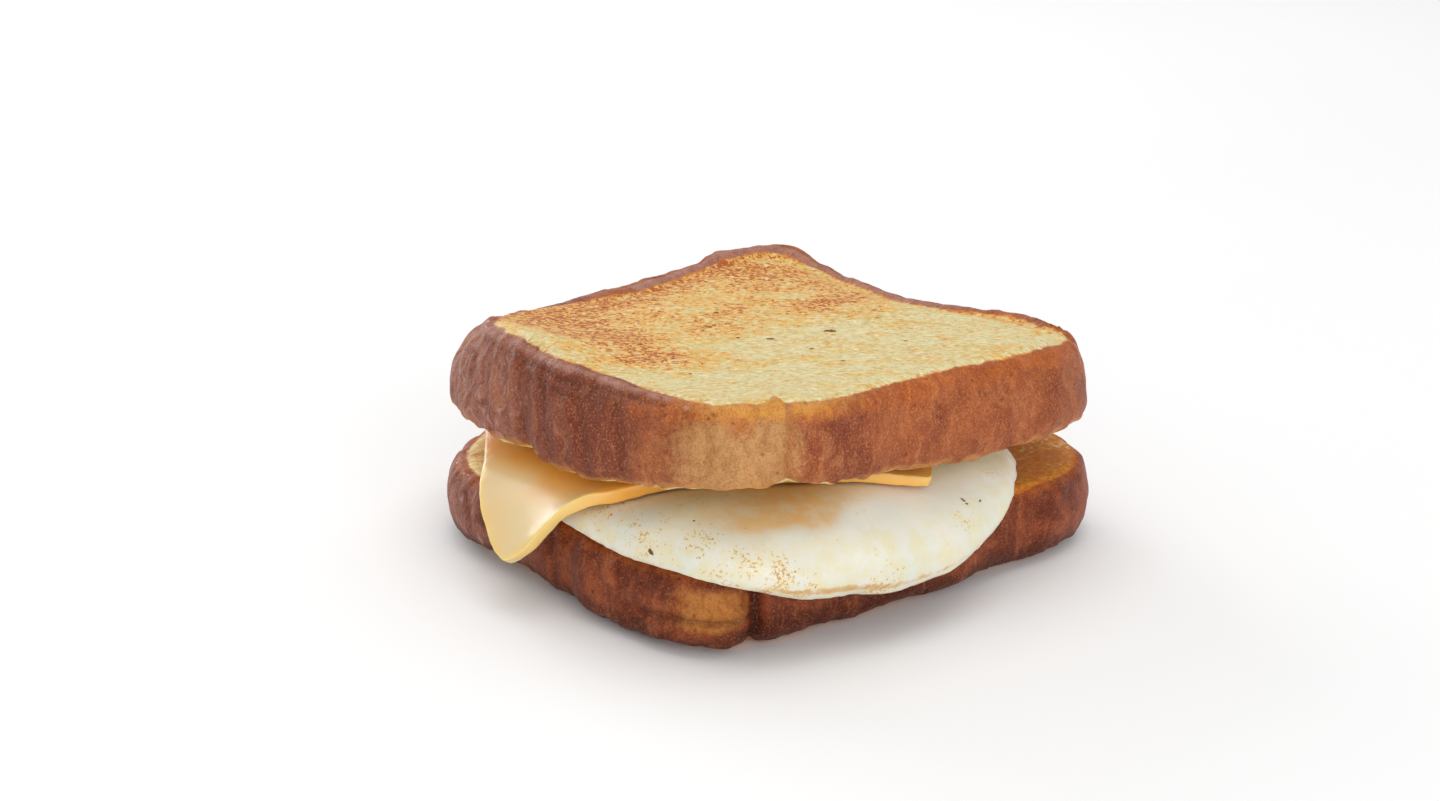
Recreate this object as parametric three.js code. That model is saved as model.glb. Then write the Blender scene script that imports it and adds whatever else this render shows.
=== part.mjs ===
// An egg and cheese sandwich on two thick slices of griddled white bread.
//
// Millimetres, +Z up. The origin is on the table, under the middle of the lower slice.
// Both slices lie with the loaf's domed top towards -Y, its flat base towards +Y, and its
// side walls towards -X and +X. From the bottom up: lower slice, fried egg, cheese, upper slice.
import * as THREE from 'three';

// ---------------------------------------------------------------- driving dimensions
const lowerSide = 98; // side wall to side wall, and flat base to domed top
const upperSide = 95; // the upper slice is pressed less
const loafSquareness = 4.6; // power of the rounded square: 2 is a circle, more is squarer
const lowerThickness = 16; // pressed by what lies on it
const upperThickness = 17; // at the front corner
const crustEdge = 2.6; // radius of a crust's rounded edge, where it is tightest
const crumbSink = 0.7; // how far the crumb lies below the crust's rim
const undersideRelief = 0.3; // waves in the upper slice's underside
const fit = 0.35; // air between pieces that rest on each other

const eggRadius = 45.6;
const eggThickness = 8.5; // at most, under the raised front of the upper slice
const eggCentre = { x: 11.6, y: -10 };

const cheeseSide = 80;
const cheeseThickness = 2.6;
const cheeseTurn = 51.5; // degrees: one corner hangs over the domed side
const cheeseCentre = { x: -9.1, y: -9.8 };

const lid = { shiftX: 1.5, shiftY: -1.5, gap: 8.1, pitch: -3.7, roll: -3.8 }; // the upper slice's lean

// ---------------------------------------------------------------- small helpers
const degrees = Math.PI / 180;
const clamp = (value, low, high) => Math.min(high, Math.max(low, value));
const mix = (a, b, share) => a + (b - a) * share;
const smooth = (low, high, value) => {
  const share = clamp((value - low) / (high - low), 0, 1);
  return share * share * (3 - 2 * share);
};

// The signed angle from one bearing to another, in degrees, between -180 and 180.
const turnTo = (angle, bearing) => {
  const turn = (angle - bearing) % 360;
  return turn > 180 ? turn - 360 : turn < -180 ? turn + 360 : turn;
};
const bump = (angle, bearing, width) => Math.exp(-((turnTo(angle, bearing) / width) ** 2));
const shelf = (angle, bearing, reach, soft) => {
  return smooth(reach + soft, reach, Math.abs(turnTo(angle, bearing)));
};

// Smooth value noise between -1 and 1 on a unit lattice.
function latticeValue(i, j, seed) {
  const wave = Math.sin(i * 127.1 + j * 311.7 + seed * 74.7) * 43758.5453;
  return 2 * (wave - Math.floor(wave)) - 1;
}
function noise(x, y, seed) {
  const i = Math.floor(x);
  const j = Math.floor(y);
  const u = smooth(0, 1, x - i);
  const v = smooth(0, 1, y - j);
  const low = mix(latticeValue(i, j, seed), latticeValue(i + 1, j, seed), u);
  const high = mix(latticeValue(i, j + 1, seed), latticeValue(i + 1, j + 1, seed), u);
  return mix(low, high, v);
}

// ---------------------------------------------------------------- the loaf's outline
// Radius of a rounded square at a bearing in degrees: 0 is +X, -90 the domed top.
function roundedSquare(angle, side, power) {
  const across = Math.abs(Math.cos(angle * degrees)) ** power;
  const along = Math.abs(Math.sin(angle * degrees)) ** power;
  return (side / 2) * (across + along) ** (-1 / power);
}

// A radius pushed out by lobes, or in where they are negative.
function pushedOut(radius, lobes, angle) {
  return lobes.reduce((sum, { at, out, width }) => sum + out * bump(angle, at, width), radius);
}

// A slice's broad outline, and the same with the creases and the fold in its crust.
function broadOutline(slice) {
  return (angle) => {
    return pushedOut(roundedSquare(angle, slice.side, loafSquareness), slice.lobes, angle);
  };
}
function loafOutline(slice) {
  const broad = broadOutline(slice);
  return (angle) => {
    let radius = pushedOut(broad(angle), slice.creases, angle);
    const past = turnTo(slice.fold.at, angle);
    radius -= slice.fold.depth * smooth(-1.5, 1.5, past) * Math.exp(-Math.max(past, 0) / 22);
    return radius;
  };
}

// ---------------------------------------------------------------- a slice of bread
// Rings of vertices run from the middle of the underside, over the edge, up the crust and
// back to the middle of the upper face. A face ring has a share of the outline's radius; a
// crust ring has a share of the edge's rounding and a level from 0 (underside) to 1 (upper face).
const sliceSegments = 152;
const faceShares = [0.38, 0.66, 0.84];
const crustLevels = [0.17, 0.34, 0.55, 0.78];

const rimShare = (share) => smooth(0.55, 1, share);

function sliceGeometry(slice) {
  const outline = loafOutline(slice);
  const place = (angle, radius, level, sink) => {
    const x = radius * Math.cos(angle * degrees);
    const y = radius * Math.sin(angle * degrees);
    const share = radius / outline(angle);
    const low = slice.under(x, y) + slice.rimLow(angle) * rimShare(share);
    const high = slice.over(x, y) + slice.rimHigh(angle) * rimShare(share);
    const ridge = slice.ridge(angle) * smooth(0.84, 1, share);
    return [x, y, mix(low + sink, high + ridge - sink, level)];
  };
  const faceRing = (share, level, sink) => (angle) => {
    return place(angle, outline(angle) * share, level, sink);
  };
  const crustRing = (edgeShare, level) => (angle) => {
    const inset = edgeShare * (level < 0.5 ? crustEdge : slice.upperEdge(angle));
    const out = slice.bulge(angle, level) + slice.pleats(angle, level) - inset;
    return place(angle, outline(angle) + out, level, 0);
  };
  const rings = [
    ...faceShares.map((share) => faceRing(share, 0, 0)),
    crustRing(1, 0),
    crustRing(0.3, 0.07),
    ...crustLevels.map((level) => crustRing(0, level)),
    crustRing(0.3, 0.93),
    crustRing(1, 1),
    ...faceShares.toReversed().map((share) => faceRing(share, 1, crumbSink)),
  ];
  return closedRings(rings, sliceSegments, [0, 0, slice.under(0, 0)], [
    0, 0, slice.over(0, 0) - crumbSink,
  ]);
}

// A closed body from rings, each a function from a bearing to a point, and its two poles.
function closedRings(rings, segments, firstPole, lastPole) {
  const points = [...firstPole];
  for (const ring of rings) {
    for (let i = 0; i < segments; i += 1) points.push(...ring((360 * i) / segments));
  }
  points.push(...lastPole);
  const faces = [];
  const index = (ring, i) => 1 + ring * segments + (i % segments);
  const last = 1 + rings.length * segments;
  for (let i = 0; i < segments; i += 1) {
    faces.push(0, index(0, i + 1), index(0, i));
    for (let r = 0; r < rings.length - 1; r += 1) {
      faces.push(index(r, i), index(r, i + 1), index(r + 1, i + 1));
      faces.push(index(r, i), index(r + 1, i + 1), index(r + 1, i));
    }
    faces.push(index(rings.length - 1, i), index(rings.length - 1, i + 1), last);
  }
  const geometry = new THREE.BufferGeometry();
  geometry.setAttribute('position', new THREE.Float32BufferAttribute(points, 3));
  geometry.setIndex(faces);
  geometry.computeVertexNormals();
  return geometry;
}

// ---------------------------------------------------------------- the two slices
// Upright pleats in the crust, deepest over the domed top, where the loaf rose and sank.
function crustPleats(seed, domeDepth, wallDepth) {
  return (angle, level) => {
    const onDome = bump(angle, -105, 52);
    const depth = mix(wallDepth, domeDepth, onDome);
    const broad = noise(angle / 9, level * 1.2, seed);
    const fine = noise(angle / 3.6, level * 2.4, seed + 7);
    return depth * (0.65 * broad + 0.35 * fine);
  };
}

// Lobes push the outline out, or in where they are negative; rimLow and rimHigh raise the
// underside and the upper face at the rim, and fade out halfway to the middle. A ridge is
// raised on the upper rim alone.
const lowerSlice = {
  side: lowerSide,
  lobes: [
    { at: -88, out: 4.6, width: 32 }, // dome
    { at: -20, out: -4.5, width: 22 }, // waist of the side wall
    { at: 18, out: -3.8, width: 15 },
    { at: -122, out: 1.2, width: 12 },
    { at: 90, out: -1, width: 26 }, // base
    { at: -138, out: -1.3, width: 14 },
    { at: 42, out: -1, width: 14 },
    { at: -58, out: 1.2, width: 8 },
    { at: -35, out: -3.6, width: 10 },
  ],
  creases: [{ at: -46, out: -2.4, width: 2.4 }], // at the front corner
  fold: { at: -83, depth: 3.4 },
  under: () => 0,
  over: (x, y) => lowerThickness + 0.35 * noise(x / 17, y / 17, 3),
  rimLow: (angle) => 1.2 * bump(angle, -108, 14) + 0.9 * bump(angle, -36, 9) + 0.8 * bump(angle, -12, 16),
  rimHigh: () => 0,
  ridge: () => 0,
  upperEdge: (angle) => crustEdge + 3 * bump(angle, -142, 20),
  bulge: (angle, level) => {
    const lip = 1.1 * bump(angle, -62, 13) * (bump(level, 0.15, 0.1) - bump(level, 0.36, 0.12));
    return 1.6 * Math.sin(Math.PI * level) - 1.2 * smooth(0.25, 0, level) + lip;
  },
  pleats: crustPleats(11, 0.8, 0.35),
};

const upperSlice = {
  side: upperSide,
  lobes: [
    { at: -92, out: 3.4, width: 32 },
    { at: -8, out: -2, width: 24 },
    { at: 88, out: -4, width: 26 },
    { at: 180, out: -2, width: 26 },
    { at: -54, out: 1.5, width: 12 },
    { at: 132, out: 2, width: 10 },
  ],
  creases: [{ at: -40, out: -1.2, width: 2.6 }],
  fold: { at: -100, depth: 2.6 },
  under: (x, y) => undersideRelief * noise(x / 12, y / 12, 5),
  over: (x, y) => upperThickness + 0.4 * noise(x / 19, y / 19, 9),
  rimLow: (angle) => {
    const front = 2.4 * bump(angle, -43, 19) - 2.4 * bump(angle, -82, 20);
    return front - 1.5 * bump(angle, -114, 9) - 1.5 * bump(angle, 6, 14);
  },
  rimHigh: (angle) => {
    const back = 1.2 * bump(angle, 141, 20) - 2.8 * bump(angle, 100, 24) - 0.9 * bump(angle, 120, 7);
    return back - 0.9 * bump(angle, 70, 12) + 3 * bump(angle, -111, 19);
  },
  ridge: (angle) => 2.4 * shelf(angle, 141, 9, 5), // crust that stands proud at the back corner
  upperEdge: (angle) => crustEdge + 2.6 * bump(angle, -134, 34) + 2 * bump(angle, 45, 16),
  bulge: (angle, level) => {
    const flare = 1.6 + 1.7 * bump(angle, -140, 24) + 1.5 * bump(angle, 42, 16);
    return 0.8 * Math.sin(Math.PI * level) + flare * (0.5 - level);
  },
  pleats: crustPleats(29, 1, 0.4),
};

// ---------------------------------------------------------------- the fillings
// How high the upper slice's underside is over a point: its lean, and what hangs at its rim.
const lidFrame = new THREE.Object3D();
lidFrame.position.set(lid.shiftX, lid.shiftY, lowerThickness + lid.gap);
lidFrame.rotation.set(lid.pitch * degrees, lid.roll * degrees, 0);
lidFrame.updateMatrixWorld(true);
const lidPlane = new THREE.Plane(new THREE.Vector3(0, 0, 1), 0).applyMatrix4(
  lidFrame.matrixWorld,
);
const upperOutline = broadOutline(upperSlice);
function lidHeight(x, y) {
  const { normal, constant } = lidPlane;
  const angle = Math.atan2(y - lid.shiftY, x - lid.shiftX) / degrees;
  const radius = Math.hypot(x - lid.shiftX, y - lid.shiftY);
  const hang = upperSlice.rimLow(angle) * rimShare(radius / upperOutline(angle));
  return hang - undersideRelief - (normal.x * x + normal.y * y + constant) / normal.z;
}

// A flat point of a sheet, laid over the lower slice and bent down past its edge.
const lowerOutline = broadOutline(lowerSlice);
const bendShoulder = 2.2; // how far inside the outline a sheet starts to bend
const bendRadius = 6;
const steepest = (angle) => 44 + 20 * bump(angle, -70, 75); // degrees; the far sides hang less
function drape(x, y, lift) {
  const angle = Math.atan2(y, x) / degrees;
  const radius = Math.hypot(x, y);
  const start = lowerOutline(angle) - bendShoulder;
  const past = radius - start;
  const floor = lowerSlice.over(x, y) + lift;
  if (past <= 0) return { point: [x, y, floor], tilt: 0, angle };
  const curve = bendRadius + lift;
  const tilt = Math.min(past / curve, steepest(angle) * degrees);
  const straight = past - curve * tilt;
  const reach = start + curve * Math.sin(tilt) + straight * Math.cos(tilt);
  const drop = curve * (1 - Math.cos(tilt)) + straight * Math.sin(tilt);
  return {
    point: [reach * Math.cos(angle * degrees), reach * Math.sin(angle * degrees), floor - drop],
    tilt,
    angle,
  };
}

// The point of a draped sheet that lies a height above its underside.
function above(draped, height) {
  const out = height * Math.sin(draped.tilt);
  return [
    draped.point[0] + out * Math.cos(draped.angle * degrees),
    draped.point[1] + out * Math.sin(draped.angle * degrees),
    draped.point[2] + height * Math.cos(draped.tilt),
  ];
}

// The egg's rim wanders about a circle, and its thickness falls to nothing there.
const eggLobes = [
  { at: -52, out: 2.2, width: 14 },
  { at: -95, out: -2.2, width: 20 },
  { at: -24, out: -2.2, width: 12 },
  { at: -4, out: -1.3, width: 9 },
  { at: 16, out: -1.4, width: 16 },
  { at: 40, out: -1, width: 12 },
  { at: 150, out: 1.5, width: 30 },
];
const eggLift = 0.6; // air under the egg, over the crust's roughness
const eggRim = (angle) => pushedOut(eggRadius, eggLobes, angle);
function eggThicknessAt(x, y) {
  const fromX = x - eggCentre.x;
  const fromY = y - eggCentre.y;
  const rim = eggRim(Math.atan2(fromY, fromX) / degrees);
  const share = Math.hypot(fromX, fromY) / rim;
  if (share >= 1) return 0;
  const room = lidHeight(x, y) - lowerSlice.over(x, y) - cheeseThickness - eggLift - 2.5 * fit;
  return clamp(room, 0.9, eggThickness) * Math.sqrt(1 - share ** 8);
}

function eggGeometry() {
  const segments = 96;
  const shares = [0.25, 0.5, 0.7, 0.84, 0.93, 0.98];
  const at = (angle, share, height) => {
    const radius = eggRim(angle) * share;
    const x = eggCentre.x + radius * Math.cos(angle * degrees);
    const y = eggCentre.y + radius * Math.sin(angle * degrees);
    return above(drape(x, y, eggLift), height * eggThicknessAt(x, y));
  };
  const rings = [
    ...shares.map((share) => (angle) => at(angle, share, 0)),
    (angle) => at(angle, 1, 0.5),
    ...shares.toReversed().map((share) => (angle) => at(angle, share, 1)),
  ];
  return closedRings(rings, segments, at(0, 0, 0), at(0, 0, 1));
}

// The cheese lies on the egg, and slopes down to the bread round the egg's rim.
const eggSlope = 8; // mm over which the cheese comes down past the rim
const cheeseLow = 0.9; // its height over the bread beyond that
function cheeseLift(x, y) {
  const fromX = x - eggCentre.x;
  const fromY = y - eggCentre.y;
  const radius = Math.hypot(fromX, fromY);
  const rim = eggRim(Math.atan2(fromY, fromX) / degrees);
  const inside = Math.min(1, (rim - 5) / Math.max(radius, 1e-6));
  const height = eggThicknessAt(eggCentre.x + fromX * inside, eggCentre.y + fromY * inside);
  const onEgg = eggLift + height + fit;
  const room = lidHeight(x, y) - lowerSlice.over(x, y) - cheeseThickness - fit;
  return Math.min(mix(onEgg, cheeseLow, smooth(rim - 2, rim + eggSlope, radius)), room);
}

function cheeseGeometry() {
  const cells = 26;
  const turn = cheeseTurn * degrees;
  const surface = (i, j, height) => {
    const u = (2 * i) / cells - 1;
    const v = (2 * j) / cells - 1;
    const rounding = 1 - 0.035 * Math.abs(u * v) ** 10;
    const a = (u * rounding * cheeseSide) / 2;
    const b = (v * rounding * cheeseSide) / 2;
    const x = cheeseCentre.x + a * Math.cos(turn) - b * Math.sin(turn);
    const y = cheeseCentre.y + a * Math.sin(turn) + b * Math.cos(turn);
    return above(drape(x, y, cheeseLift(x, y)), height);
  };
  return sheetGeometry(surface, cells, cheeseThickness);
}

// A closed sheet from a square grid of points, with its lower side at height 0.
function sheetGeometry(surface, cells, thickness) {
  const row = cells + 1;
  const points = [];
  for (const height of [0, thickness]) {
    for (let j = 0; j < row; j += 1) {
      for (let i = 0; i < row; i += 1) points.push(...surface(i, j, height));
    }
  }
  const faces = [];
  const lower = (i, j) => j * row + i;
  const upper = (i, j) => row * row + j * row + i;
  for (let j = 0; j < cells; j += 1) {
    for (let i = 0; i < cells; i += 1) {
      faces.push(upper(i, j), upper(i + 1, j), upper(i + 1, j + 1));
      faces.push(upper(i, j), upper(i + 1, j + 1), upper(i, j + 1));
      faces.push(lower(i, j), lower(i + 1, j + 1), lower(i + 1, j));
      faces.push(lower(i, j), lower(i, j + 1), lower(i + 1, j + 1));
    }
  }
  const wall = (p, q) => {
    faces.push(lower(...p), lower(...q), upper(...q), lower(...p), upper(...q), upper(...p));
  };
  for (let i = 0; i < cells; i += 1) {
    wall([i, 0], [i + 1, 0]);
    wall([i + 1, cells], [i, cells]);
    wall([0, i + 1], [0, i]);
    wall([cells, i], [cells, i + 1]);
  }
  const geometry = new THREE.BufferGeometry();
  geometry.setAttribute('position', new THREE.Float32BufferAttribute(points, 3));
  geometry.setIndex(faces);
  geometry.computeVertexNormals();
  return geometry;
}

// ---------------------------------------------------------------- the sandwich
function piece(name, geometry, color, roughness) {
  const material = new THREE.MeshStandardMaterial({ color, roughness, metalness: 0 });
  const mesh = new THREE.Mesh(geometry, material);
  mesh.name = name;
  return mesh;
}

const sandwich = new THREE.Group();
sandwich.add(piece('bread_bottom', sliceGeometry(lowerSlice), 0xa8643f, 0.7));
sandwich.add(piece('fried_egg', eggGeometry(), 0xf3efe2, 0.45));
sandwich.add(piece('cheese_slice', cheeseGeometry(), 0xf2b85f, 0.3));

const upper = piece('bread_top', sliceGeometry(upperSlice), 0xd8a25a, 0.6);
upper.position.copy(lidFrame.position);
upper.rotation.copy(lidFrame.rotation);
sandwich.add(upper);

export default sandwich;
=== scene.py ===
# Egg and cheese sandwich on griddled white bread: the looks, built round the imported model.
# Metres, +Z up. The loaf's domed top faces -Y, its flat base +Y, its side walls -X and +X.
import itertools
import math

import bpy
import numpy as np
from mathutils import Euler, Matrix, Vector
from mathutils.bvhtree import BVHTree


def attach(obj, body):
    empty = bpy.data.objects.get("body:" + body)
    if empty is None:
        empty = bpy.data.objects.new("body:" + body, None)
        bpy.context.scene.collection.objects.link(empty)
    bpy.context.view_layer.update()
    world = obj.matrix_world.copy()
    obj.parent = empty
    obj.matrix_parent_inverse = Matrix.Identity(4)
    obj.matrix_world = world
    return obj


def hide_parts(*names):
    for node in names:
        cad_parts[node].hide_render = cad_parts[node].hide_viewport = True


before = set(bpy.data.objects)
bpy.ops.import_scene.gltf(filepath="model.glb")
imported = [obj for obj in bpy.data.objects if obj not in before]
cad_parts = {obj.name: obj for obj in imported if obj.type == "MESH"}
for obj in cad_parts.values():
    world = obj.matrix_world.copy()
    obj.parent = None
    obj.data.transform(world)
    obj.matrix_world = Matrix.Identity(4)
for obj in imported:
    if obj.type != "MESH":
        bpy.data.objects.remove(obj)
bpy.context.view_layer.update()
mm = 0.001


# picking, modifiers, points and masks
def pickOnly(piece):
    bpy.ops.object.select_all(action="DESELECT")
    piece.select_set(True)
    bpy.context.view_layer.objects.active = piece


def setMode(mode):
    bpy.ops.object.mode_set(mode=mode)


def applyModifier(piece, kind, **settings):
    pickOnly(piece)
    modifier = piece.modifiers.new(kind.title(), kind)
    for key, value in settings.items():
        setattr(modifier, key, value)
    bpy.ops.object.modifier_apply(modifier=modifier.name)


def subdivide(piece, levels):
    applyModifier(piece, "SUBSURF", levels=levels, render_levels=levels)


def mergedCopy(node, name):
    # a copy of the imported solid, its triangles merged and turned back into quads
    piece = bpy.data.objects.new(name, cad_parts[node].data.copy())
    bpy.context.scene.collection.objects.link(piece)
    piece.data.materials.clear()
    pickOnly(piece)
    bpy.ops.mesh.customdata_custom_splitnormals_clear()
    setMode("EDIT")
    bpy.ops.mesh.select_all(action="SELECT")
    bpy.ops.mesh.remove_doubles(threshold=0.01 * mm)
    bpy.ops.mesh.tris_convert_to_quads(
        face_threshold=math.radians(70), shape_threshold=math.radians(70)
    )
    setMode("OBJECT")
    return piece


def readVertices(piece, what):
    values = np.empty(len(piece.data.vertices) * 3)
    piece.data.vertices.foreach_get(what, values)
    return values.reshape(-1, 3)


def moveVertices(piece, points):
    piece.data.vertices.foreach_set("co", points.ravel())
    piece.data.update()


def smoothShade(piece):
    pickOnly(piece)
    bpy.ops.object.shade_smooth()


def groupSharp(piece, name, angle):
    # a group of the vertices on edges sharper than an angle (degrees), which stay selected
    pickOnly(piece)
    setMode("EDIT")
    bpy.ops.mesh.select_mode(type="EDGE")
    bpy.ops.mesh.select_all(action="DESELECT")
    bpy.ops.mesh.edges_select_sharp(sharpness=math.radians(angle))
    setMode("OBJECT")
    found = [v.index for v in piece.data.vertices if v.select]
    piece.vertex_groups.new(name=name).add(found, 1, "REPLACE")


def readWeights(piece, name):
    group = piece.vertex_groups[name].index
    weights = []
    for vertex in piece.data.vertices:
        weights.append(next((g.weight for g in vertex.groups if g.group == group), 0))
    return np.array(weights)


def pushOut(piece, amount):
    # moves each vertex along its normal by an amount in millimetres
    shift = readVertices(piece, "normal") * amount[:, None] * mm
    moveVertices(piece, readVertices(piece, "co") + shift)


def paintMask(piece, name, values):
    mask = piece.data.attributes.new(name, "FLOAT", "POINT")
    mask.data.foreach_set("value", np.clip(values, 0, 1).astype(np.float32))


def paintMasks(piece, masks):
    for name, values in masks.items():
        paintMask(piece, name, values)


def smoothStep(low, high, value):
    share = np.clip((value - low) / (high - low), 0, 1)
    return share * share * (3 - 2 * share)


def ridge(distance, width):
    # 1 on a line, falling off to both sides of it
    return np.exp(-((distance / width) ** 2))


def bearingOf(points):
    # degrees round the middle, -180 to 180, 0 at +X
    return np.degrees(np.arctan2(points[:, 1], points[:, 0]))


def bump(angle, at, width):
    return ridge((angle - at + 180) % 360 - 180, width)


def scatterValue(cells, seed):
    wave = np.sin(cells @ np.array([127.1, 311.7, 74.7]) + seed * 19.19) * 43758.5453
    return 2 * (wave - np.floor(wave)) - 1


def softNoise(points, size, seed):
    # smooth noise from -1 to 1, with blobs of a size given in the points' own units
    spot = points / np.asarray(size, float)
    cell = np.floor(spot)
    share = spot - cell
    share = share * share * (3 - 2 * share)
    total = np.zeros(len(points))
    for corner in itertools.product((0, 1), repeat=3):
        weight = np.prod(np.where(corner, share, 1 - share), axis=1)
        total += weight * scatterValue(cell + corner, seed)
    return total


def poreDepth(points, spacing, radius, seed, share):
    # round pits strewn over a surface, 1 deep in their middle and 0 between them
    spot = points / spacing
    cell = np.floor(spot)
    depth = np.zeros(len(points))
    for corner in itertools.product((-1, 0, 1), repeat=3):
        home = cell + corner
        jitter = np.stack([scatterValue(home, seed + k) for k in (1, 2, 3)], axis=1)
        gap = np.linalg.norm(spot - home - 0.5 - 0.4 * jitter, axis=1) * spacing
        reach = radius * (0.65 + 0.35 * scatterValue(home, seed + 4))
        kept = scatterValue(home, seed + 5) < 2 * share - 1
        depth = np.maximum(depth, kept * np.clip(1 - (gap / reach) ** 2, 0, 1))
    return depth


def swells(points, entries):
    # entries: size and height of a blob (mm), seed
    return sum(height * softNoise(points, size, seed) for size, height, seed in entries)


def pits(points, entries):
    # entries: spacing and radius (mm), seed, share of the spots that have a pit, depth (mm)
    return sum(depth * poreDepth(points, *rest) for *rest, depth in entries)


# shader helpers
def paint(red, green, blue):
    # a colour as it shows on a screen, 0 to 255, as the shader wants it
    shares = [value / 255 for value in (red, green, blue)]
    linear = [s / 12.92 if s <= 0.04045 else ((s + 0.055) / 1.055) ** 2.4 for s in shares]
    return (*linear, 1)


def fillInputs(tree, made, inputs):
    for key, value in inputs.items():
        if isinstance(value, bpy.types.NodeSocket):
            tree.links.new(value, made.inputs[key])
        else:
            made.inputs[key].default_value = value


def addNode(tree, kind, inputs=None, **settings):
    made = tree.nodes.new("ShaderNode" + kind)
    for key, value in settings.items():
        setattr(made, key, value)
    fillInputs(tree, made, inputs or {})
    return made


def mixColour(tree, share, first, second, how="MIX"):
    made = addNode(tree, "Mix", {0: share, 6: first, 7: second}, data_type="RGBA", blend_type=how)
    return made.outputs[2]


def calculate(tree, how, first, second):
    return addNode(tree, "Math", {0: first, 1: second}, operation=how).outputs[0]


def plus(tree, first, second):
    return calculate(tree, "ADD", first, second)


def times(tree, first, second):
    return calculate(tree, "MULTIPLY", first, second)


def darken(tree, share, hue, tint):
    # multiplies a colour by a tint (red, green, blue from 0 to 1), by a share
    return mixColour(tree, share, hue, (*tint, 1), "MULTIPLY")


def ramp(tree, value, low, high, start=0, end=1):
    made = addNode(
        tree,
        "MapRange",
        {"Value": value, "From Min": low, "From Max": high, "To Min": start, "To Max": end},
        interpolation_type="SMOOTHSTEP",
    )
    return made.outputs[0]


def noiseField(tree, place, size, detail=2, rough=0.5):
    # size is that of one blob, in mm
    settings = {"Vector": place, "Scale": 1 / (size * mm), "Detail": detail, "Roughness": rough}
    return addNode(tree, "TexNoise", settings).outputs["Fac"]


def cellField(tree, place, size):
    settings = {"Vector": place, "Scale": 1 / (size * mm)}
    return addNode(tree, "TexVoronoi", settings).outputs["Distance"]


def newGroup(name, inputs):
    # inputs are colours or single values; it gives back a colour, a height and a roughness
    group = bpy.data.node_groups.new(name, "ShaderNodeTree")
    for label, value in inputs.items():
        kind = "NodeSocketColor" if isinstance(value, tuple) else "NodeSocketFloat"
        socket = group.interface.new_socket(name=label, in_out="INPUT", socket_type=kind)
        socket.default_value = value
    for label, kind in (("Color", "Color"), ("Height", "Float"), ("Roughness", "Float")):
        group.interface.new_socket(name=label, in_out="OUTPUT", socket_type="NodeSocket" + kind)
    start = group.nodes.new("NodeGroupInput").outputs
    return group, start, group.nodes.new("NodeGroupOutput")


def useGroup(tree, group, inputs):
    made = tree.nodes.new("ShaderNodeGroup")
    made.node_tree = group
    fillInputs(tree, made, inputs)
    return made.outputs


def bumpOf(tree, height, strength, distance):
    # distance in mm
    settings = {"Height": height, "Strength": strength, "Distance": distance * mm}
    return addNode(tree, "Bump", settings).outputs["Normal"]


def softness(weight, *reach):
    # how far light spreads under the surface: red, green and blue, in mm
    radius = [distance * mm for distance in reach]
    return {"Subsurface Weight": weight, "Subsurface Radius": radius, "Subsurface Scale": 1}


def placeIn(tree):
    return addNode(tree, "TexCoord").outputs["Object"]


def layOver(tree, hue, layers):
    # lays each colour over the one below it, by its share
    for share, tint in layers:
        hue = mixColour(tree, share, hue, tint)
    return hue


def maskOf(tree, name):
    return addNode(tree, "Attribute", attribute_name=name).outputs["Fac"]


def newMaterial(name):
    material = bpy.data.materials.new(name)
    material.use_nodes = True
    tree = material.node_tree
    return material, tree, tree.nodes["Principled BSDF"], placeIn(tree)


# node groups of the bread's crumb and crust
crumbGrain = {  # sizes in mm, the fibres' turn in degrees, the tints of the painted shade in hollows and cells, and the painted highlight on fibres
    "fibres": 0.62,
    "grain": 1.3,
    "broad": 4.5,
    "clumps": 0.85,
    "cells": 1.5,
    "turn": -46,
    "pitShade": (0.74, 0.56, 0.34),
    "cellShade": (0.66, 0.46, 0.24),
    "fibreHighlight": paint(246, 234, 198),
}
crustGrain = {  # sizes of the grain in mm, and what darkens each kind of spot; the streak and pore tints are painted shade
    "sway": 6,
    "streaks": 0.9,
    "grain": 1.2,
    "fine": 0.36,
    "pores": 2.6,
    "mottle": 2.4,
    "mottleTint": (0.74, 0.6, 0.5),
    "grainTint": (0.78, 0.66, 0.56),
    "fineTint": (0.72, 0.58, 0.48),
    "streakShade": (0.6, 0.5, 0.46),
    "poreShade": (0.4, 0.28, 0.2),
}
sliceRadius = 50 * mm  # turns a bearing into a distance round the crust


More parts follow.
